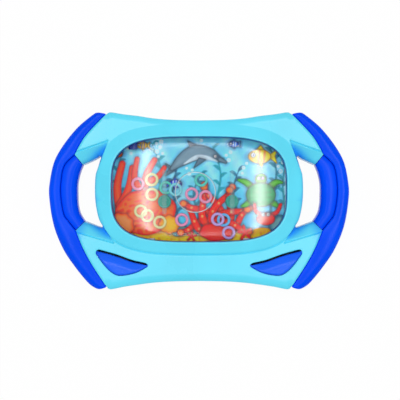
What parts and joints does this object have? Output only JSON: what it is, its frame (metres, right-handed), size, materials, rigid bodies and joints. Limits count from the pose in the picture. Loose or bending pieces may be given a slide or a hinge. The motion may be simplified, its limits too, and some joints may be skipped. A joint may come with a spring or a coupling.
{
  "type": "water ring toss game",
  "caption": "Hand-held water ring toss game: a clear water tank with loose rings and pegs in a case with two side grips and two pump buttons.",
  "frame": {"origin": "middle of the footprint on the flat back, with the game lying on its back", "axes": "+X to the player's right along the length, +Y towards the top edge, +Z out of the window"},
  "size_m": [0.2402, 0.1414, 0.0376],
  "materials": {
    "case_blue": "satin moulded plastic, light blue",
    "grip_blue": "satin moulded plastic, royal blue",
    "clear_plastic": "clear polished plastic",
    "gasket_blue": "dark blue soft seal",
    "printed_card": "printed card with a plain sea design",
    "plug_navy": "navy soft plastic",
    "pump_rubber": "white soft plastic",
    "pump_white": "white moulded plastic",
    "peg_teal": "translucent teal plastic",
    "screw_steel": "plated steel",
    "ring_pink": "pink plastic",
    "ring_yellow": "pale yellow plastic",
    "ring_teal": "teal plastic",
    "ring_cyan": "cyan plastic",
    "ring_purple": "lavender plastic",
    "ring_blue": "sky blue plastic"
  },
  "bodies": {
    "case": {"front_shell": "case_blue", "rear_shell": "case_blue", "water_tank": "clear_plastic", "window_lens": "clear_plastic", "window_gasket": "gasket_blue", "backdrop_print": "printed_card", "filler_neck": "plug_navy", "case_screw_1": "screw_steel", "case_screw_2": "screw_steel", "case_screw_3": "screw_steel", "case_screw_4": "screw_steel", "case_screw_5": "screw_steel", "case_screw_6": "screw_steel", "case_screw_7": "screw_steel", "case_screw_8": "screw_steel", "left_grip_band": "grip_blue", "left_grip_bar": "grip_blue", "left_pump_bellows": "pump_rubber", "left_pump_base": "pump_white", "left_pump_hose": "pump_rubber", "left_nozzle": "pump_white", "left_peg": "peg_teal", "right_grip_band": "grip_blue", "right_grip_bar": "grip_blue", "right_pump_bellows": "pump_rubber", "right_pump_base": "pump_white", "right_pump_hose": "pump_rubber", "right_nozzle": "pump_white", "right_peg": "peg_teal"},
    "left_button": {"left_button": "grip_blue"},
    "right_button": {"right_button": "grip_blue"},
    "filler_plug": {"filler_plug": "plug_navy"},
    "ring_pink_1": {"ring_pink_1": "ring_pink"},
    "ring_yellow_1": {"ring_yellow_1": "ring_yellow"},
    "ring_yellow_2": {"ring_yellow_2": "ring_yellow"},
    "ring_yellow_3": {"ring_yellow_3": "ring_yellow"},
    "ring_yellow_4": {"ring_yellow_4": "ring_yellow"},
    "ring_yellow_5": {"ring_yellow_5": "ring_yellow"},
    "ring_pink_2": {"ring_pink_2": "ring_pink"},
    "ring_pink_3": {"ring_pink_3": "ring_pink"},
    "ring_pink_4": {"ring_pink_4": "ring_pink"},
    "ring_teal_1": {"ring_teal_1": "ring_teal"},
    "ring_cyan_1": {"ring_cyan_1": "ring_cyan"},
    "ring_teal_2": {"ring_teal_2": "ring_teal"},
    "ring_purple_1": {"ring_purple_1": "ring_purple"},
    "ring_blue_1": {"ring_blue_1": "ring_blue"},
    "ring_purple_2": {"ring_purple_2": "ring_purple"}
  },
  "joints": [
    {"name": "left_button_press", "type": "slide", "parent": "case", "child": "left_button", "axis": [0, 0, -1], "range_m": [0, 0.004], "stiffness_N_per_m": 350, "springref_m": -0.002, "deforming": ["left_pump_bellows"]},
    {"name": "right_button_press", "type": "slide", "parent": "case", "child": "right_button", "axis": [0, 0, -1], "range_m": [0, 0.004], "stiffness_N_per_m": 350, "springref_m": -0.002, "deforming": ["right_pump_bellows"]},
    {"name": "filler_plug_pull", "type": "slide", "parent": "case", "child": "filler_plug", "axis": [0, 1, 0], "range_m": [0, 0.012]},
    {"name": "ring_pink_1_float", "type": "slide", "parent": "case", "child": "ring_pink_1", "axis": [0, 0, 1], "range_m": [0, 0.012]},
    {"name": "ring_yellow_1_float", "type": "slide", "parent": "case", "child": "ring_yellow_1", "axis": [0, 0, 1], "range_m": [0, 0.012]},
    {"name": "ring_yellow_2_float", "type": "slide", "parent": "case", "child": "ring_yellow_2", "axis": [0, 0, 1], "range_m": [0, 0.012]},
    {"name": "ring_yellow_3_slip", "type": "slide", "parent": "case", "child": "ring_yellow_3", "axis": [-1, 0, 0], "range_m": [0, 0.008]},
    {"name": "ring_yellow_4_float", "type": "slide", "parent": "case", "child": "ring_yellow_4", "axis": [0, 0, 1], "range_m": [0, 0.0095]},
    {"name": "ring_yellow_5_float", "type": "slide", "parent": "case", "child": "ring_yellow_5", "axis": [0, 0, 1], "range_m": [0, 0.012]},
    {"name": "ring_pink_2_float", "type": "slide", "parent": "case", "child": "ring_pink_2", "axis": [0, 0, 1], "range_m": [0, 0.012]},
    {"name": "ring_pink_3_float", "type": "slide", "parent": "case", "child": "ring_pink_3", "axis": [0, 0, 1], "range_m": [0, 0.012]},
    {"name": "ring_pink_4_float", "type": "slide", "parent": "case", "child": "ring_pink_4", "axis": [0, 0, 1], "range_m": [0, 0.012]},
    {"name": "ring_teal_1_slip", "type": "slide", "parent": "case", "child": "ring_teal_1", "axis": [0, 1, 0], "range_m": [0, 0.01]},
    {"name": "ring_cyan_1_float", "type": "slide", "parent": "case", "child": "ring_cyan_1", "axis": [0, 0, 1], "range_m": [0, 0.0095]},
    {"name": "ring_teal_2_float", "type": "slide", "parent": "case", "child": "ring_teal_2", "axis": [0, 0, 1], "range_m": [0, 0.012]},
    {"name": "ring_purple_1_float", "type": "slide", "parent": "case", "child": "ring_purple_1", "axis": [0, 0, 1], "range_m": [0, 0.0095]},
    {"name": "ring_blue_1_slip", "type": "slide", "parent": "case", "child": "ring_blue_1", "axis": [-1, 0, 0], "range_m": [0, 0.01]},
    {"name": "ring_purple_2_float", "type": "slide", "parent": "case", "child": "ring_purple_2", "axis": [0, 0, 1], "range_m": [0, 0.012]}
  ]
}
